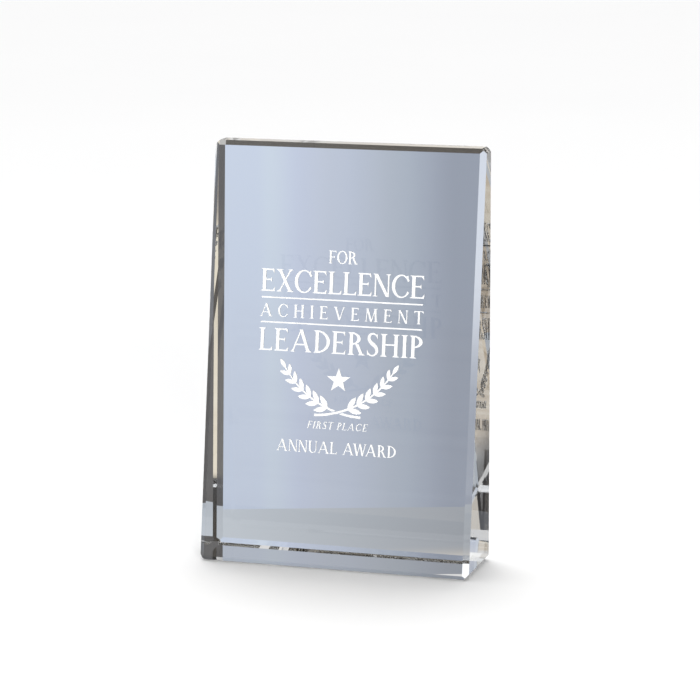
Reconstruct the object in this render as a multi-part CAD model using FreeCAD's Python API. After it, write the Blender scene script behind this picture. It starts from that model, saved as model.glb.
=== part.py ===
import FreeCAD, Part
import math
import os

from FreeCAD import Matrix, Placement, Rotation, Vector

# A wedge of clear optical crystal that stands on its own base, with a sandblasted inscription on its
# leaning front face. The inscription is filled with white enamel, and each line of it is its own piece.
# Millimetres. The origin is the middle of the base: X to the right as the front is read, Y to the
# back, Z up.

# The crystal block. Its back is upright and its front leans back.
block_width = 102.2
block_height = 152.4
base_depth = 32.6
top_depth = 9.6
upright_bevel = 2.0         # on the four long edges
level_bevel = 1.6           # on the edges that run from left to right
end_bevel = 1.8             # on the edges that run from front to back

# The inscription, from its foot up. Gaps are bare crystal above the piece they are named for.
engraving_depth = 0.4
cutter_reach = 1.0          # how far a pocket's cutter stands out of the front face
inscription_foot = 42.3     # up the front face, from the block's lower front edge
inscription_width = 61.8
last_line_text = "ANNUAL AWARD"
last_line_cap = 4.3         # the height of a line's capitals
last_line_width = 45.2
last_line_gap = 4.6
italic_line_text = "FIRST PLACE"
italic_line_cap = 2.6
italic_line_width = 22.6
italic_line_gap = 2.2
emblem_gap = 2.8
lower_title_text = "LEADERSHIP"
upper_title_text = "EXCELLENCE"
title_cap = 8.15
lower_title_gap = 1.9
upper_title_gap = 2.95
rule_thickness = 0.5
rule_width = 61.0
lower_rule_gap = 1.75
upper_rule_gap = 1.95
spaced_line_text = "ACHIEVEMENT"
spaced_line_cap = 4.7
spaced_line_gap = 2.05
small_line_text = "FOR"
small_line_cap = 4.6
small_line_width = 11.0

# The emblem: two laurel branches that cross near their cut ends, and a star between them.
branch_radius = 36.0        # of the arc that a branch bends along
branch_offset = 10.0        # from the middle to the centre of that arc, on the other side
branch_start = 2.0          # degrees along the arc
first_leaf = 22.5
last_leaf = 52.5
tip_leaf = 57.0
branch_end = 58.5           # inside the leaf at its tip
leaf_pairs = 6
leaf_spread = 34.0          # degrees between a leaf and its branch
leaf_length = 5.4
leaf_width = 1.9
leaf_belly = 0.45           # where a leaf is widest, as a share of its length
leaf_shrink = 0.25          # share of its size that the last leaf has lost
branch_width = 0.9
branch_tip_width = 0.45
crossing_gap = 0.3          # bare crystal beside the branch that passes in front
star_points = 5
star_radius = 4.6
star_waist = 0.40           # inner radius as a share of the outer one
star_height = 13.0          # of its centre above the start of the branches' arcs

# The letters are drawn with capitals one unit high.
stem = 0.15                 # thick strokes
thin = 0.068                # thin upright and slanted strokes
hair = 0.06                 # level strokes
serif_reach = 0.075
serif_height = 0.03
serif_bracket = 0.05
bracket_bend = 0.28         # how near the bracket's curve comes to its corner
beak_drop = 0.2             # the pointed ends of level strokes
beak_width = 0.09
beak_lean = 0.02
overshoot = 0.015           # how far a round letter passes a flat one
word_space = 0.42
least_gap = 0.03            # between two letters
italic_slant = 12.0         # degrees
kerning = {"AW": 0.16, "WA": 0.16, "LA": 0.05}
first_stem = serif_reach + stem / 2
first_thin = serif_reach + thin / 2


def filled(outline):
    # A flat face that looks up, so that faces which overlap can be fused into one.
    face = Part.Face(outline)
    return face if face.normalAt(0, 0).z > 0 else face.reversed()


def flat(*corners):
    points = [Vector(x, y, 0) for x, y in corners]
    return filled(Part.makePolygon(points + points[:1]))


def box(left, right, bottom, top):
    return flat((left, bottom), (right, bottom), (right, top), (left, top))


def oval(left, right, bottom, top):
    middle = Vector((left + right) / 2, (bottom + top) / 2, 0)
    side = Vector(right, middle.y, 0)
    tip = Vector(middle.x, top, 0)
    if right - left > top - bottom:
        side, tip = tip, side
    return filled(Part.Wire(Part.Ellipse(tip, side, middle).toShape()))


def ring(left, right, bottom, top, left_wall, right_wall, level_wall):
    inside = oval(left + left_wall, right - right_wall, bottom + level_wall, top - level_wall)
    return oval(left, right, bottom, top).cut(inside)


def slanted(x_bottom, x_top, width, bottom=0.0, top=1.0):
    half = width / 2
    return flat((x_bottom - half, bottom), (x_bottom + half, bottom), (x_top + half, top), (x_top - half, top))


def serif(x, end, width):
    # A flat serif with curved brackets, across a stroke's foot (end 0) or head (end 1).
    up = 1 - 2 * end
    edge = width / 2
    tip = edge + serif_reach
    shelf = end + up * serif_height
    neck = shelf + up * serif_bracket
    bend = Vector(edge + serif_reach * bracket_bend, shelf + up * serif_bracket * bracket_bend, 0)
    right_arc = Part.Arc(Vector(tip, shelf, 0), bend, Vector(edge, neck, 0))
    left_arc = Part.Arc(Vector(-edge, neck, 0), Vector(-bend.x, bend.y, 0), Vector(-tip, shelf, 0))
    slab = Part.makePolygon([Vector(-tip, shelf, 0), Vector(-tip, end, 0), Vector(tip, end, 0), Vector(tip, shelf, 0)])
    across = Part.makeLine(Vector(edge, neck, 0), Vector(-edge, neck, 0))
    outline = Part.Wire(slab.Edges + [right_arc.toShape(), across, left_arc.toShape()])
    return filled(outline).translated(Vector(x, 0, 0))


def stroke(x_bottom, x_top, width, ends=(0, 1)):
    serifs = [serif((x_bottom, x_top)[end], end, width) for end in ends]
    return [slanted(x_bottom, x_top, width)] + serifs


def arm(start, end, level, rise):
    # A level stroke whose far end stands up or hangs down in a beak.
    edge = level + math.copysign(hair, rise)
    bar = box(start, end, min(level, edge), max(level, edge))
    lean = math.copysign(beak_lean, end - start)
    back = end - math.copysign(beak_width, end - start)
    return [bar, flat((back, edge), (end, edge), (end + lean, level + rise))]


def middle_arm(start, end, level):
    half = beak_drop / 2
    bar = box(start, end, level - hair / 2, level + hair / 2)
    return [bar, flat((end - beak_width, level), (end, level - half), (end, level + half))]


def ribbon(path, widths):
    # A curved stroke of varying width along the points of its middle line.
    points = [Vector(x, y, 0) for x, y in path]
    middle = Part.BSplineCurve()
    middle.interpolate(points)
    left = []
    right = []
    for point, width in zip(points, widths):
        along = middle.tangent(middle.parameter(point))[0]
        across = Vector(-along.y, along.x, 0) * (width / 2)
        left.append(point + across)
        right.append(point - across)
    left_side = Part.BSplineCurve()
    left_side.interpolate(left)
    right_side = Part.BSplineCurve()
    right_side.interpolate(right[::-1])
    ends = [Part.makeLine(left[-1], right[-1]), Part.makeLine(right[0], left[0])]
    return filled(Part.Wire([left_side.toShape(), ends[0], right_side.toShape(), ends[1]]))


def fused(pieces):
    return pieces[0].fuse(pieces[1:]).removeSplitter().Faces[0]


def letter_a():
    foot = first_thin + 0.74
    peak = first_thin + 0.38
    legs = [slanted(first_thin, peak, thin), slanted(foot, peak, stem)]
    bar = box(first_thin + 0.13, foot - 0.13, 0.3, 0.3 + hair)
    return fused(legs + [bar, serif(first_thin, 0, thin), serif(foot, 0, stem)])


def letter_c():
    outline = ring(0, 0.86, -overshoot, 1 + overshoot, stem, 0.1, hair)
    mouth = flat((0.45, 0.5), (1.2, 1.04), (1.2, -0.08))
    beak = flat((0.66, 0.93), (0.745, 0.99), (0.745, 0.72))
    return fused([outline.cut(mouth).Faces[0], beak])


def letter_d():
    reach = 0.6
    bowl = ring(first_stem - reach, first_stem + reach, 0, 1, stem, stem, hair)
    right_half = bowl.common(box(first_stem, first_stem + reach, 0, 1))
    return fused(stroke(first_stem, first_stem, stem) + right_half.Faces)


def letter_e():
    upper = arm(first_stem, first_stem + 0.45, 1, -beak_drop)
    lower = arm(first_stem, first_stem + 0.49, 0, beak_drop)
    middle = middle_arm(first_stem, first_stem + 0.35, 0.52)
    return fused(stroke(first_stem, first_stem, stem) + upper + lower + middle)


def letter_f():
    upper = arm(first_stem, first_stem + 0.45, 1, -beak_drop)
    middle = middle_arm(first_stem, first_stem + 0.35, 0.5)
    return fused(stroke(first_stem, first_stem, stem) + upper + middle)


def letter_h():
    second = first_stem + 0.56
    bar = box(first_stem, second, 0.5, 0.5 + hair)
    return fused(stroke(first_stem, first_stem, stem) + stroke(second, second, stem) + [bar])


def letter_i():
    return fused(stroke(first_stem, first_stem, stem))


def letter_l():
    return fused(stroke(first_stem, first_stem, stem) + arm(first_stem, first_stem + 0.47, 0, beak_drop))


def letter_m():
    left_peak = first_thin + 0.08
    valley = left_peak + 0.33
    right_peak = valley + 0.31
    foot = right_peak + 0.05
    strokes = [slanted(first_thin, left_peak, thin), slanted(valley, left_peak, stem),
               slanted(valley, right_peak, thin), slanted(foot, right_peak, stem)]
    serifs = [serif(left_peak, 1, thin), serif(right_peak, 1, stem), serif(first_thin, 0, thin), serif(foot, 0, stem)]
    return fused(strokes + serifs)


def letter_n():
    second = first_thin + 0.6
    diagonal = slanted(second - 0.03, first_thin + 0.02, stem)
    return fused(stroke(first_thin, first_thin, thin) + stroke(second, second, thin, ends=(1,)) + [diagonal])


def letter_o():
    return ring(0, 0.84, -overshoot, 1 + overshoot, stem, stem, hair).Faces[0]


def letter_p():
    reach = 0.43
    bottom = 0.45
    bowl = ring(first_stem - reach, first_stem + reach, bottom, 1, stem, stem, hair)
    right_half = bowl.common(box(first_stem, first_stem + reach, bottom, 1))
    return fused(stroke(first_stem, first_stem, stem) + right_half.Faces)


def letter_r():
    foot = first_stem + 0.5
    leg = slanted(foot, first_stem + 0.02, stem).common(box(first_stem, 1, 0, 0.48))
    return fused([letter_p(), leg.Faces[0], serif(foot, 0, stem)])


def letter_s():
    path = [(0.47, 0.80), (0.38, 0.945), (0.25, 0.985), (0.12, 0.91), (0.085, 0.77), (0.16, 0.62), (0.285, 0.51),
            (0.41, 0.39), (0.465, 0.24), (0.40, 0.08), (0.25, 0.015), (0.11, 0.06), (0.03, 0.21)]
    widths = [0.04, 0.065, 0.07, 0.11, 0.13, 0.15, 0.17, 0.15, 0.13, 0.09, 0.065, 0.065, 0.04]
    upper_beak = flat((0.42, 0.93), (0.48, 0.99), (0.49, 0.72))
    lower_beak = flat((0.01, 0.29), (0.02, 0.01), (0.09, 0.09))
    return fused([ribbon(path, widths), upper_beak, lower_beak])


def letter_t():
    middle = 0.36
    arms = arm(middle, 2 * middle, 1, -beak_drop) + arm(middle, 0, 1, -beak_drop)
    return fused(stroke(middle, middle, stem, ends=(0,)) + arms)


def letter_u():
    second = first_stem + 0.55
    turn = 0.34
    bowl = ring(first_stem - stem / 2, second + thin / 2, -overshoot, 2 * turn, stem, thin, hair)
    lower_half = bowl.common(box(0, 1, -1, turn))
    uprights = [slanted(first_stem, first_stem, stem, turn), slanted(second, second, thin, turn)]
    return fused(uprights + lower_half.Faces + [serif(first_stem, 1, stem), serif(second, 1, thin)])


def letter_v():
    foot = first_stem + 0.34
    second = foot + 0.32
    legs = [slanted(foot, first_stem, stem), slanted(foot, second, thin)]
    return fused(legs + [serif(first_stem, 1, stem), serif(second, 1, thin)])


def letter_w():
    first_foot = first_stem + 0.24
    peak = first_foot + 0.24
    second_foot = peak + 0.24
    last = second_foot + 0.23
    legs = [slanted(first_foot, first_stem, stem), slanted(first_foot, peak, thin),
            slanted(second_foot, peak, stem), slanted(second_foot, last, thin)]
    return fused(legs + [serif(first_stem, 1, stem), serif(last, 1, thin)])


def letter_x():
    second = first_stem + 0.52
    return fused(stroke(second, first_stem, stem) + stroke(first_stem, second, thin))


letters = {"A": letter_a, "C": letter_c, "D": letter_d, "E": letter_e, "F": letter_f, "H": letter_h,
           "I": letter_i, "L": letter_l, "M": letter_m, "N": letter_n, "O": letter_o, "P": letter_p,
           "R": letter_r, "S": letter_s, "T": letter_t, "U": letter_u, "V": letter_v, "W": letter_w,
           "X": letter_x}


def reshaped(face, width_share=1.0, slant=0.0):
    # The face made narrower, or leant over by a slant in degrees, and still flat.
    change = Matrix()
    change.A11 = width_share
    change.A12 = math.tan(math.radians(slant))
    return Part.makeFace(face.transformGeometry(change).Wires, "Part::FaceMakerBullseye").Faces[0]


def text_line(text, cap, width):
    # The letters of a line, spread over its width about the middle, with its baseline at height 0.
    # They are drawn narrower where the line is too short to leave least_gap between them.
    placed = []
    reach = 0.0
    for letter, following in zip(text, text[1:] + " "):
        if letter == " ":
            reach += word_space * cap
            continue
        face = letters[letter]().scaled(cap)
        placed.append((face, reach - face.BoundBox.XMin))
        reach += face.BoundBox.XLength - kerning.get(letter + following, 0) * cap
    gaps = len(placed) - 1
    share = min(1.0, (width - gaps * least_gap * cap) / reach)
    if share < 1:
        placed = [(reshaped(face, share), start * share) for face, start in placed]
    gap = (width - reach * share) / gaps
    return [face.translated(Vector(start + order * gap - width / 2, 0, 0))
            for order, (face, start) in enumerate(placed)]


def italic(faces):
    return [reshaped(face, slant=italic_slant) for face in faces]


def rule():
    return [box(-rule_width / 2, rule_width / 2, 0, rule_thickness)]


def branch_point(angle, side):
    turn = math.radians(angle)
    across = branch_radius * math.sin(turn) - branch_offset
    return Vector(side * across, branch_radius * (1 - math.cos(turn)), 0)


def leaf(angle, side, spread, size):
    turn = math.radians(angle + spread)
    along = Vector(side * math.cos(turn), math.sin(turn), 0)
    across = Vector(-along.y, along.x, 0) * (size * leaf_width / 2)
    base = branch_point(angle, side)
    tip = base + along * (size * leaf_length)
    belly = base + along * (size * leaf_length * leaf_belly)
    edges = [Part.Arc(base, belly - across, tip).toShape(), Part.Arc(tip, belly + across, base).toShape()]
    return filled(Part.Wire(edges))


def branch_stem(side, margin=0.0):
    # The bare twig. The margin is what it is wider by on each side.
    steps = 6
    path = []
    widths = []
    for step in range(steps + 1):
        share = step / steps
        point = branch_point(branch_start + share * (branch_end - branch_start), side)
        path.append((point.x, point.y))
        widths.append(branch_width + share * (branch_tip_width - branch_width) + 2 * margin)
    return ribbon(path, widths)


def branch(side):
    leaves = [leaf(tip_leaf, side, 0, 1 - leaf_shrink)]
    for pair in range(leaf_pairs):
        share = pair / (leaf_pairs - 1)
        angle = first_leaf + share * (last_leaf - first_leaf)
        leaves += [leaf(angle, side, spread, 1 - leaf_shrink * share) for spread in (leaf_spread, -leaf_spread)]
    return fused([branch_stem(side)] + leaves)


def star():
    corners = []
    for corner in range(2 * star_points):
        turn = math.pi * corner / star_points
        radius = star_radius * (1, star_waist)[corner % 2]
        corners.append((radius * math.sin(turn), star_height + radius * math.cos(turn)))
    return flat(*corners)


def emblem():
    # The left branch passes behind the right one, so it is broken there.
    right = branch(1)
    left = branch(-1).cut(branch_stem(1, crossing_gap))
    return {"laurel_left_fill": left.Faces, "laurel_right_fill": [right], "star_fill": [star()]}


def inscription():
    # The outlines of each piece on the front face, stacked from the foot up.
    emblem_pieces = emblem()
    emblem_box = Part.makeCompound(sum(emblem_pieces.values(), [])).BoundBox
    rows = [
        (last_line_cap, last_line_gap,
         {"last_line_fill": text_line(last_line_text, last_line_cap, last_line_width)}),
        (italic_line_cap, italic_line_gap,
         {"italic_line_fill": italic(text_line(italic_line_text, italic_line_cap, italic_line_width))}),
        (emblem_box.YMax, emblem_gap, emblem_pieces),
        (title_cap, lower_title_gap,
         {"lower_title_fill": text_line(lower_title_text, title_cap, inscription_width)}),
        (rule_thickness, lower_rule_gap, {"lower_rule_fill": rule()}),
        (spaced_line_cap, spaced_line_gap,
         {"spaced_line_fill": text_line(spaced_line_text, spaced_line_cap, inscription_width)}),
        (rule_thickness, upper_rule_gap, {"upper_rule_fill": rule()}),
        (title_cap, upper_title_gap,
         {"upper_title_fill": text_line(upper_title_text, title_cap, inscription_width)}),
        (small_line_cap, 0, {"small_line_fill": text_line(small_line_text, small_line_cap, small_line_width)}),
    ]
    placed = {}
    level = inscription_foot
    for height, gap, pieces in rows:
        for name, faces in pieces.items():
            placed[name] = [face.translated(Vector(0, level, 0)) for face in faces]
        level += height + gap
    return placed


def bevelled(block, first, second, setback):
    # Cuts the edge between two of the block's planes, each a point on it and its outward normal.
    total = first[1] + second[1]
    edge_sine = first[1].cross(second[1]).Length
    distance = (first[0].dot(first[1]) + second[0].dot(second[1]) - setback * edge_sine) / total.Length
    outward = total.normalize()
    size = 2 * (block_width + block_height + base_depth)
    cutter = Part.makeBox(size, size, size, Vector(-size / 2, -size / 2, 0))
    cutter.Placement = Placement(outward * distance, Rotation(Vector(0, 0, 1), outward))
    return block.cut(cutter)


lean = math.degrees(math.atan2(base_depth - top_depth, block_height))
front_face = Placement(Vector(0, -base_depth / 2, 0), Rotation(Vector(1, 0, 0), 90 - lean))


def crystal_block():
    half_width = block_width / 2
    front = -base_depth / 2
    back = base_depth / 2
    corners = [(front, 0), (back, 0), (back, block_height), (back - top_depth, block_height)]
    points = [Vector(-half_width, y, z) for y, z in corners]
    block = Part.Face(Part.makePolygon(points + points[:1])).extrude(Vector(block_width, 0, 0))
    front_plane = (Vector(0, front, 0), front_face.Rotation.multVec(Vector(0, 0, 1)))
    back_plane = (Vector(0, back, 0), Vector(0, 1, 0))
    base_plane = (Vector(0, 0, 0), Vector(0, 0, -1))
    top_plane = (Vector(0, 0, block_height), Vector(0, 0, 1))
    end_planes = [(Vector(side * half_width, 0, 0), Vector(side, 0, 0)) for side in (-1, 1)]
    for broad_plane in (front_plane, back_plane):
        for level_plane in (base_plane, top_plane):
            block = bevelled(block, broad_plane, level_plane, level_bevel)
        for end_plane in end_planes:
            block = bevelled(block, broad_plane, end_plane, upright_bevel)
    for end_plane in end_planes:
        for level_plane in (base_plane, top_plane):
            block = bevelled(block, end_plane, level_plane, end_bevel)
    return block


def sunk(face, above, depth):
    # A flat outline on the front face, made solid from some way above the face down to a depth in it.
    solid = face.translated(Vector(0, 0, above)).extrude(Vector(0, 0, -above - depth))
    solid.Placement = front_face
    return solid


def main():
    outlines = inscription()
    pockets = [sunk(face, cutter_reach, engraving_depth) for faces in outlines.values() for face in faces]
    nodes = {"crystal_block": crystal_block().cut(pockets)}
    for name, faces in outlines.items():
        nodes[name] = Part.makeCompound([sunk(face, 0.0, engraving_depth) for face in faces])
    os.makedirs("parts", exist_ok=True)
    for name, shape in nodes.items():
        shape.exportStep("parts/" + name + ".step")
        print(name, len(shape.Solids), "solids,", round(shape.Volume, 3), "mm3, valid", shape.isValid())


main()
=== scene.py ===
import math

import bpy
from mathutils import Matrix, Vector


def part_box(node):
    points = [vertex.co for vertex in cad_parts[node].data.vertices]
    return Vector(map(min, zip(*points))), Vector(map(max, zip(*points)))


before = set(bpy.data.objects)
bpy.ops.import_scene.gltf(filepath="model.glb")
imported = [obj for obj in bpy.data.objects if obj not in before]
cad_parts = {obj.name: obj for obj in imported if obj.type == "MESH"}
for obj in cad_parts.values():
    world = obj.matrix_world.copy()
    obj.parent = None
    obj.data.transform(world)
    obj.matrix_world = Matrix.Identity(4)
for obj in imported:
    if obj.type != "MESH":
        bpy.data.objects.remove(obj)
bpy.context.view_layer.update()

blockLow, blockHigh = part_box("crystal_block")
backFace = blockHigh.y
print("frame loaded, block", [round((b - a) * 1000, 1) for a, b in zip(blockLow, blockHigh)], "mm")


class Term:
    # one output socket, so that sums on it can be written as plain expressions
    def __init__(self, tree, socket):
        self.tree = tree
        self.socket = socket

    def maths(self, operation, *values):
        return self.tree.node("ShaderNodeMath", {"operation": operation}, *values)

    def __add__(self, other):
        return self.maths("ADD", self, other)

    def __sub__(self, other):
        return self.maths("SUBTRACT", self, other)

    def __rsub__(self, other):
        return self.maths("SUBTRACT", other, self)

    def __mul__(self, other):
        return self.maths("MULTIPLY", self, other)

    def __truediv__(self, other):
        return self.maths("DIVIDE", self, other)

    def __abs__(self):
        return self.maths("ABSOLUTE", self)

    __radd__ = __add__
    __rmul__ = __mul__

    def risesOver(self, low, high):
        # 0 below low, 1 above high, with a soft step between
        step = {"interpolation_type": "SMOOTHSTEP"}
        return self.tree.node("ShaderNodeMapRange", step, self, low, high, 0.0, 1.0)

    def inside(self, low, high, blur):
        # 1 from low to high and 0 beyond, with soft ends; None leaves that end open
        above = 1 if low is None else self.risesOver(low - blur, low + blur)
        below = 1 if high is None else 1 - self.risesOver(high - blur, high + blur)
        return above * below


class Tree:
    # a material's or a world's node tree
    def __init__(self, owner):
        owner.use_nodes = True
        self.tree = owner.node_tree
        self.tree.nodes.clear()

    def node(self, kind, settings=None, *values, output=0, **named):
        made = self.tree.nodes.new(kind)
        for name, setting in (settings or {}).items():
            if name == "stops":
                self.setStops(made.color_ramp, setting)
            elif name == "between":
                made.color_ramp.interpolation = setting
            else:
                setattr(made, name, setting)
        for place, value in list(enumerate(values)) + list(named.items()):
            key = place if isinstance(place, int) else place.replace("_", " ")
            if isinstance(value, Term):
                self.tree.links.new(value.socket, made.inputs[key])
            elif value is not None:
                made.inputs[key].default_value = value
        return Term(self, made.outputs[output]) if made.outputs else None

    def setStops(self, ramp, stops):
        while len(ramp.elements) < len(stops):
            ramp.elements.new(1.0)
        for element, (place, colour) in zip(ramp.elements, stops):
            element.position = place
            element.color = (*colour, 1.0)

    def ramp(self, factor, stops, between="LINEAR"):
        return self.node("ShaderNodeValToRGB", {"stops": stops, "between": between}, factor)

    def blend(self, factor, first, second):
        # a colour mix, where a plain colour may stand for either side
        made = self.tree.nodes.new("ShaderNodeMix")
        made.data_type = "RGBA"
        self.tree.links.new(factor.socket, made.inputs[0])
        for place, value in ((6, first), (7, second)):       # a Mix node's two colour sockets
            if isinstance(value, Term):
                self.tree.links.new(value.socket, made.inputs[place])
            else:
                made.inputs[place].default_value = (*value, 1.0)
        return Term(self, made.outputs[2])

    def place(self):
        # x, y and z of the shaded point, in metres
        spot = self.node("ShaderNodeNewGeometry")
        apart = self.node("ShaderNodeSeparateXYZ", None, spot)
        return [Term(self, apart.socket.node.outputs[axis]) for axis in range(3)]

    def noise(self, scale, detail=2.0, roughness=0.5, stretch=(1, 1, 1)):
        spot = self.node("ShaderNodeNewGeometry")
        spread = self.node("ShaderNodeVectorMath", {"operation": "MULTIPLY"}, spot, stretch)
        return self.node("ShaderNodeTexNoise", None, Vector=spread, Scale=scale, Detail=detail,
                         Roughness=roughness)

    def finish(self, shader, target="ShaderNodeOutputMaterial"):
        self.node(target, None, shader)


def addMesh(name, corners, faces, material):
    mesh = bpy.data.meshes.new(name)
    mesh.from_pydata([tuple(corner) for corner in corners], [], faces)
    mesh.materials.append(material)
    piece = bpy.data.objects.new(name, mesh)
    bpy.context.scene.collection.objects.link(piece)
    return piece


# camera: it comes first, because the surroundings are set square to it
view = {
    "target": (0.0076, -0.0163, 0.0819),
    "distance": 1.0194,
    "turn": 17.32,            # degrees to the right of the front
    "height": 11.28,          # degrees above level
    "roll": -0.235,
    "lens": 147.2,
    "near": 0.01,
    "far": 50.0,
}


def addCamera():
    turn, height, roll = (math.radians(view[name]) for name in ("turn", "height", "roll"))
    back = Vector((math.sin(turn) * math.cos(height), -math.cos(turn) * math.cos(height), math.sin(height)))
    right = (-back).cross(Vector((0, 0, 1))).normalized()
    up = right.cross(-back)
    across = right * math.cos(roll) + up * math.sin(roll)
    above = up * math.cos(roll) - right * math.sin(roll)
    eye = Vector(view["target"]) + back * view["distance"]
    data = bpy.data.cameras.new("camera")
    data.lens = view["lens"]
    data.clip_start = view["near"]
    data.clip_end = view["far"]
    camera = bpy.data.objects.new("camera", data)
    camera.matrix_world = Matrix((
        (across.x, above.x, back.x, eye.x),
        (across.y, above.y, back.y, eye.y),
        (across.z, above.z, back.z, eye.z),
        (0, 0, 0, 1)))
    bpy.context.scene.collection.objects.link(camera)
    bpy.context.scene.camera = camera


addCamera()
print("camera placed")

# crystal
crystal = {
    "tint": (0.985, 0.993, 1.0, 1.0),
    "ior": 1.52,
    "polish": 0.002,          # roughness of the clean faces
    "haze": 0.006,            # what the faint wipe marks add
    "hazeScale": 38.0,
    "hazeStretch": (1.0, 1.0, 0.35),       # the marks run up and down
    "hazeFrom": 0.56,         # how much of the noise turns into marks
    "hazeTo": 0.78,
    "waviness": 0.012,        # of the polished faces
    "waveDepth": 0.001,
    "waveScale": 26.0,
}


def crystalMaterial():
    material = bpy.data.materials.new("polishedCrystal")
    tree = Tree(material)
    wipes = tree.noise(crystal["hazeScale"], detail=5.0, roughness=0.6, stretch=crystal["hazeStretch"])
    rough = crystal["polish"] + crystal["haze"] * wipes.risesOver(crystal["hazeFrom"], crystal["hazeTo"])
    waves = tree.noise(crystal["waveScale"], detail=1.0, roughness=0.4)
    lean = tree.node("ShaderNodeBump", None, Strength=crystal["waviness"], Distance=crystal["waveDepth"],
                     Height=waves)
    shader = tree.node("ShaderNodeBsdfPrincipled", None, Base_Color=crystal["tint"], Roughness=rough,
                       IOR=crystal["ior"], Transmission_Weight=1.0, Normal=lean)
    tree.finish(shader)
    return material


# enamel
enamel = {
    "white": (0.93, 0.935, 0.93),
    "shade": (0.86, 0.865, 0.86),
    "shadeFrom": 0.45,        # how much of the grain and cloud turns into shade
    "shadeTo": 0.7,
    "cloud": 240.0,
    "roughness": 0.42,
    "grainRoughness": 0.18,
    "grain": 2600.0,          # the sandblasted floor of a pocket shows through as a fine grain
    "grainDepth": 0.00003,
    "grainStrength": 0.6,
    "specular": 0.35,
}


def enamelMaterial():
    material = bpy.data.materials.new("whiteEnamel")
    tree = Tree(material)
    grain = tree.noise(enamel["grain"], detail=3.0, roughness=0.6)
    cloud = tree.noise(enamel["cloud"], detail=2.0, roughness=0.5)
    shade = (0.5 * grain + 0.5 * cloud).risesOver(enamel["shadeFrom"], enamel["shadeTo"])
    colour = tree.blend(shade, enamel["white"], enamel["shade"])
    rough = enamel["roughness"] + enamel["grainRoughness"] * grain
    bump = tree.node("ShaderNodeBump", None, Strength=enamel["grainStrength"], Distance=enamel["grainDepth"],
                     Height=grain)
    shader = tree.node("ShaderNodeBsdfPrincipled", None, Base_Color=colour, Roughness=rough, Normal=bump,
                       Specular_IOR_Level=enamel["specular"])
    tree.finish(shader)
    return material


def paintNodes():
    crystalLook = crystalMaterial()
    enamelLook = enamelMaterial()
    for name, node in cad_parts.items():
        look = crystalLook if name == "crystal_block" else enamelLook
        for slot in node.material_slots:
            slot.material = look


paintNodes()
print("materials made")

# studio: pale floor, white world and soft lamps
studio = {
    "floorDrop": 0.0003,      # under the block's base, which leaves room for the desk between
    "floorReach": 9.0,
    "floorColour": (0.93, 0.93, 0.932),
    "floorPale": (0.95, 0.95, 0.95),
    "floorCloud": 3.0,
    "floorRoughness": 0.85,
    "floorSpecular": 0.1,
    "worldLight": 0.29,       # strength as a light; where the world itself is seen, it is 1
}


def addFloor():
    material = bpy.data.materials.new("paleFloor")
    tree = Tree(material)
    cloud = tree.noise(studio["floorCloud"], detail=3.0)
    colour = tree.blend(cloud, studio["floorColour"], studio["floorPale"])
    tree.finish(tree.node("ShaderNodeBsdfPrincipled", None, Base_Color=colour,
                          Roughness=studio["floorRoughness"], Specular_IOR_Level=studio["floorSpecular"]))
    reach = studio["floorReach"]
    level = -studio["floorDrop"]
    corners = [(-reach, -reach, level), (reach, -reach, level), (reach, reach, level), (-reach, reach, level)]
    floor = addMesh("floor", corners, [(0, 1, 2, 3)], material)
    floor.visible_transmission = False       # the crystal shows the desk below instead
    floor.visible_glossy = False


def addWorld():
    world = bpy.data.worlds.new("softWorld")
    bpy.context.scene.world = world
    tree = Tree(world)
    backdrop = tree.node("ShaderNodeLightPath", output="Is Camera Ray")
    strength = studio["worldLight"] + (1 - studio["worldLight"]) * backdrop
    white = (1.0, 1.0, 1.0, 1.0)
    light = tree.node("ShaderNodeBackground", None, Color=white, Strength=strength)
    tree.finish(light, "ShaderNodeOutputWorld")


lamps = {
    # the sky lamp is even over the whole floor, the fill stands near the block; angles are in degrees
    "sky": {"kind": "SUN", "bearing": -25.0, "rise": 68.0, "angle": 50.0, "distance": 2.0, "power": 2.5},
    "fill": {"kind": "AREA", "bearing": 150.0, "rise": 13.0, "size": 0.7, "distance": 1.6, "power": 17.0},
}


def addLamps():
    aim = Vector((0, 0, blockHigh.z / 2))
    for name, lamp in lamps.items():
        data = bpy.data.lights.new(name, lamp["kind"])
        data.energy = lamp["power"]
        if lamp["kind"] == "SUN":
            data.angle = math.radians(lamp["angle"])
        else:
            data.shape = "DISK"
            data.size = lamp["size"]
        bearing = math.radians(lamp["bearing"])
        rise = math.radians(lamp["rise"])
        level = Vector((math.sin(bearing), math.cos(bearing), 0)) * math.cos(rise)
        towards = level + Vector((0, 0, math.sin(rise)))
        light = bpy.data.objects.new(name, data)
        light.location = aim + towards * lamp["distance"]
        light.rotation_mode = "QUATERNION"
        light.rotation_quaternion = (-towards).to_track_quat("-Z", "Y")
        light.visible_transmission = False
        bpy.context.scene.collection.objects.link(light)


addFloor()
addWorld()
addLamps()
print("studio lit")

# surroundings that show only in the crystal: a desk, a blue-grey screen behind it and a room.
# They stand still, whichever side the block is looked at from.
turn = math.radians(view["turn"])
awayFromFront = Vector((-math.sin(turn), math.cos(turn), 0))
acrossView = Vector((math.cos(turn), math.sin(turn), 0))
heldBack = 0.93               # share of the glow that is kept from falling through the block on to the floor


def seenInCrystal(piece):
    piece.visible_camera = False
    piece.visible_diffuse = False
    piece.visible_shadow = False
    piece.visible_volume_scatter = False


def glowing(name, paint):
    # a material that only glows, in the colour that paint works out from the tree
    material = bpy.data.materials.new(name)
    tree = Tree(material)
    bounced = tree.node("ShaderNodeLightPath", output="Diffuse Depth").risesOver(0.0, 1.0)
    colour = tree.blend(bounced * heldBack, paint(tree), (0, 0, 0))
    tree.finish(tree.node("ShaderNodeEmission", None, Color=colour, Strength=1.0))
    return material


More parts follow.
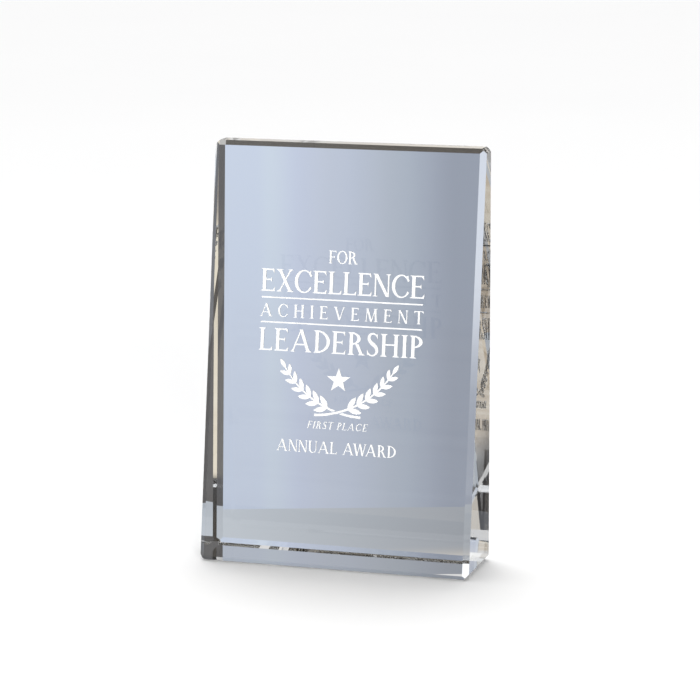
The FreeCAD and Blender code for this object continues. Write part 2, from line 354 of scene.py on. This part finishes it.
def areaMask(axes, area):
    # an area is a span of (low, high, blur) along each axis that it names
    mask = 1
    for name, span in area.items():
        mask = mask * axes[name].inside(*span)
    return mask


def paintOver(tree, colour, patches, axes):
    # lays the patches over a colour one after the other
    for patch in patches:
        mask = sum(areaMask(axes, area) for area in patch["areas"])
        colour = tree.blend(mask * patch.get("cover", 1.0), colour, patch["colour"])
    return colour


def alongAcross(x, y):
    # distance to the right of the block, square to the view
    return x * acrossView.x + (y - backFace) * acrossView.y


# screen: what the front shows
screen = {
    "distance": 0.40,         # behind the block's back face
    "left": -0.60,            # its sides, from the block's middle, and its heights
    "right": 0.112,
    "bottom": -0.45,
    "top": 0.16,
    "shadeFrom": -0.05,       # the colours below run from here to shadeTo, left to right
    "shadeTo": 0.05,
    "stops": [(0.0, (0.585, 0.66, 0.80)), (0.08, (0.60, 0.68, 0.795)), (0.20, (0.548, 0.61, 0.755)),
              (0.34, (0.518, 0.573, 0.692)), (0.49, (0.48, 0.535, 0.65)), (0.64, (0.43, 0.48, 0.57)),
              (0.79, (0.375, 0.425, 0.51)), (0.89, (0.325, 0.365, 0.45)), (1.0, (0.28, 0.315, 0.39))],
    "grain": 900.0,
    "grainShift": 0.012,
    # patches on it: duller towards the desk, a dark post on the left, what lies beyond the post, a top band
    "duller": {"colour": (0.24, 0.27, 0.34), "cover": 0.22, "areas": [{"z": (None, -0.014, 0.114)}]},
    "post": {"colour": (0.03, 0.028, 0.027), "cover": 0.94, "areas": [{"across": (-0.125, -0.075, 0.004)}]},
    "farLeft": [{"across": (None, -0.123, 0.002)}],
    "farLeftLow": (0.31, 0.345, 0.42),
    "farLeftHigh": (0.70, 0.75, 0.84),
    "farLeftFade": (-0.04, None, 0.045),
    "topBand": {"colour": (0.24, 0.25, 0.26), "cover": 0.5, "areas": [{"z": (0.08, None, 0.008)}]},
    # below the desk, from the floor up: timber, a grey panel and a dark gap; each starts at its height
    "streak": 14.0,
    "timber": [(0.35, (0.42, 0.34, 0.25)), (0.6, (0.66, 0.57, 0.45))],
    "panel": [(0.35, (0.08, 0.08, 0.082)), (0.65, (0.25, 0.25, 0.26))],
    "panelFrom": (-0.267, None, 0.001),
    "gap": (0.055, 0.05, 0.045),
    "gapFrom": (-0.203, None, 0.003),
    "deskFrom": (-0.131, None, 0.002),
}


def screenPaint(tree):
    x, y, z = tree.place()
    across = alongAcross(x, y)
    axes = {"across": across, "z": z}
    share = (across - screen["shadeFrom"]) / (screen["shadeTo"] - screen["shadeFrom"])
    grain = tree.noise(screen["grain"])
    colour = tree.ramp(share + screen["grainShift"] * (grain - 0.5), screen["stops"], "CARDINAL")
    colour = paintOver(tree, colour, [screen["duller"], screen["post"]], axes)
    farLeft = tree.blend(z.inside(*screen["farLeftFade"]), screen["farLeftLow"], screen["farLeftHigh"])
    leftPatch = {"colour": farLeft, "areas": screen["farLeft"]}
    colour = paintOver(tree, colour, [leftPatch, screen["topBand"]], axes)
    streaks = tree.noise(screen["streak"], detail=5.0, roughness=0.6, stretch=(1.0, 1.0, 9.0))
    timber = tree.ramp(streaks, screen["timber"])
    panel = tree.ramp(streaks, screen["panel"])
    lower = tree.blend(z.inside(*screen["panelFrom"]), timber, panel)
    lower = tree.blend(z.inside(*screen["gapFrom"]), lower, screen["gap"])
    return tree.blend(z.inside(*screen["deskFrom"]), lower, colour)


def addScreen():
    middle = Vector((0, backFace, 0)) + awayFromFront * screen["distance"]
    ends = (("left", "bottom"), ("right", "bottom"), ("right", "top"), ("left", "top"))
    corners = [middle + acrossView * screen[side] + Vector((0, 0, screen[height])) for side, height in ends]
    seenInCrystal(addMesh("screen", corners, [(0, 1, 2, 3)], glowing("screenGlow", screenPaint)))


# desk: grey behind the block, wood beside and in front of it
desk = {
    "back": 0.047,            # how far it reaches behind the block
    "skew": 0.06,             # its back edge comes nearer on the right
    "front": 0.62,
    "side": 0.75,
    "level": -0.0001,         # between the block's base and the floor
    "grey": [(0.0, (0.53, 0.575, 0.63)), (1.0, (0.295, 0.315, 0.35))],
    "greyLeft": -0.075,
    "greyRight": 0.075,
    "greyArea": {"behind": (0.005, None, 0.015), "across": (None, 0.0975, 0.0125)},
    "streak": 5.0,
    "wood": [(0.32, (0.44, 0.36, 0.26)), (0.47, (0.68, 0.58, 0.45)), (0.6, (0.84, 0.77, 0.65))],
    "cream": (0.92, 0.86, 0.72),
    "creamDark": (0.66, 0.58, 0.45),
    "creamFrom": (0.055, None, 0.015),
    "creamTo": (None, 0.35, 0.03),
    "woodPatches": [
        {"colour": (0.20, 0.18, 0.165), "cover": 0.8, "areas": [{"x": (0.35, None, 0.03)}]},
        {"colour": (0.96, 0.95, 0.92), "areas": [{"x": (0.50, None, 0.02)}]},
        {"colour": (0.74, 0.745, 0.75), "areas": [{"y": (None, -0.22, 0.04)}]},
    ],
}
# painted contact shadow: the dark patch on the desk at the block's foot, left open in the middle
paintedContactShadow = {
    "colour": (0.035, 0.03, 0.024),
    "cover": 0.97,
    "side": 0.0069,           # how far it passes the block
    "sideBlur": 0.006,
    "front": 0.0139,
    "back": 0.0009,
    "edgeBlur": 0.0008,
    "middleSide": 0.0036,     # how far the open middle stays inside the block's sides
    "middleY": (-0.0125, 0.001, 0.002),
    "middleBlur": 0.002,
}


# where the painted contact shadow lies on the desk round the block's foot
def paintedContactShadowMask(axes):
    side = paintedContactShadow["side"]
    inset = paintedContactShadow["middleSide"]
    foot = {"x": (blockLow.x - side, blockHigh.x + side, paintedContactShadow["sideBlur"]),
            "y": (blockLow.y - paintedContactShadow["front"], blockHigh.y + paintedContactShadow["back"], paintedContactShadow["edgeBlur"])}
    middle = {"x": (blockLow.x + inset, blockHigh.x - inset, paintedContactShadow["middleBlur"]),
              "y": paintedContactShadow["middleY"]}
    return areaMask(axes, foot) * (1 - areaMask(axes, middle))


def deskPaint(tree):
    x, y = tree.place()[:2]
    across = alongAcross(x, y)
    behind = y * awayFromFront.y + x * awayFromFront.x
    axes = {"x": x, "y": y, "across": across, "behind": behind}
    grey = tree.ramp(across.risesOver(desk["greyLeft"], desk["greyRight"]), desk["grey"])
    streaks = tree.noise(desk["streak"], detail=7.0, roughness=0.66, stretch=(1.0, 14.0, 1.0))
    wood = tree.ramp(streaks, desk["wood"])
    cream = tree.blend(streaks, desk["cream"], desk["creamDark"])
    wood = tree.blend(x.inside(*desk["creamFrom"]) * x.inside(*desk["creamTo"]), wood, cream)
    wood = paintOver(tree, wood, desk["woodPatches"], axes)
    colour = tree.blend(areaMask(axes, desk["greyArea"]), wood, grey)
    # the painted contact shadow goes over the desk's own colours
    return tree.blend(paintedContactShadowMask(axes) * paintedContactShadow["cover"], colour, paintedContactShadow["colour"])


def addDesk():
    back = Vector((0, backFace, desk["level"])) + awayFromFront * desk["back"]
    front = back - awayFromFront * (desk["back"] + desk["front"])
    side = acrossView * desk["side"]
    slant = awayFromFront * desk["side"] * desk["skew"]
    corners = [front - side, front + side, back + side - slant, back - side + slant]
    seenInCrystal(addMesh("desk", corners, [(0, 1, 2, 3)], glowing("deskGlow", deskPaint)))


# room: a pale ball round the block, with darker things and bright windows painted on it
dim = (0.095, 0.095, 0.1)
black = (0.02, 0.018, 0.016)
room = {
    "radius": 1.6,
    "rings": 24,
    "sides": 48,
    "pale": (0.66, 0.66, 0.67),
    "paler": (0.80, 0.79, 0.77),
    "cloud": 1.6,
    # in degrees: bearing is clockwise from straight behind the block, turned is the same without its sign,
    # and rise is above level
    "patches": [
        # dim furniture behind the block, taller on the right, then three black things round it
        {"colour": dim, "areas": [{"bearing": (-75, 62, 2.0), "rise": (None, 10, 2.0)}]},
        {"colour": dim, "areas": [{"bearing": (9, 62, 1.0), "rise": (None, 28, 2.0)}]},
        {"colour": black, "areas": [{"bearing": (84, 130, 3.0), "rise": (4, 33, 2.0)}]},
        {"colour": black, "areas": [{"bearing": (None, -154, 4.0), "rise": (24, 42, 2.0)}]},
        {"colour": black, "areas": [{"bearing": (-80, -52, 2.0), "rise": (20, 42, 2.0)}]},
        # a wooden table edge in front, the floor all round, a warm wall behind and three windows
        {"colour": (0.60, 0.52, 0.41), "areas": [{"turned": (142, None, 2.0), "rise": (-6, 2.5, 0.8)}]},
        {"colour": (0.46, 0.47, 0.48), "cover": 0.9, "areas": [{"rise": (None, -22.5, 1.5)}]},
        {"colour": (0.62, 0.56, 0.47), "areas": [{"bearing": (-24, 0, 2.0), "rise": (26, 40, 2.0)}]},
        {"colour": (1.1, 1.12, 1.15), "areas": [{"bearing": (-160, -85, 3.0), "rise": (44, 76, 2.0)},
                                                {"bearing": (-50, -24, 2.0), "rise": (13, 40, 2.0)},
                                                {"bearing": (-24, 0, 2.0), "rise": (14, 18.5, 1.0)}]},
    ],
}


def roomPaint(tree):
    x, y, z = tree.place()
    degrees = 180 / math.pi
    bearing = tree.node("ShaderNodeMath", {"operation": "ARCTAN2"}, x, y) * degrees
    rise = tree.node("ShaderNodeMath", {"operation": "ARCSINE"}, z / room["radius"]) * degrees
    colour = tree.blend(tree.noise(room["cloud"], detail=3.0), room["pale"], room["paler"])
    axes = {"bearing": bearing, "turned": abs(bearing), "rise": rise}
    return paintOver(tree, colour, room["patches"], axes)


def addRoom():
    radius, rings, sides = (room[name] for name in ("radius", "rings", "sides"))
    corners = [(0, 0, -radius), (0, 0, radius)]
    for ring in range(1, rings):
        tilt = math.pi * ring / rings - math.pi / 2
        for side in range(sides):
            bearing = 2 * math.pi * side / sides
            level = Vector((math.sin(bearing), math.cos(bearing), 0)) * math.cos(tilt)
            corners.append((level + Vector((0, 0, math.sin(tilt)))) * radius)

    def spot(ring, side):
        # where a ring's corner stands in the list, after the two poles
        return 2 + (ring - 1) * sides + side % sides

    faces = [(spot(ring, side), spot(ring, side + 1), spot(ring + 1, side + 1), spot(ring + 1, side))
             for ring in range(1, rings - 1) for side in range(sides)]
    faces += [(0, spot(1, side + 1), spot(1, side)) for side in range(sides)]
    faces += [(1, spot(rings - 1, side), spot(rings - 1, side + 1)) for side in range(sides)]
    seenInCrystal(addMesh("room", corners, faces, glowing("roomGlow", roomPaint)))


addScreen()
addDesk()
addRoom()
print("surroundings placed")

bounces = 24                  # light turns many corners inside a wedge of crystal
scene = bpy.context.scene
scene.view_settings.view_transform = "Standard"
scene.cycles.max_bounces = bounces
scene.cycles.transmission_bounces = bounces
scene.cycles.glossy_bounces = bounces
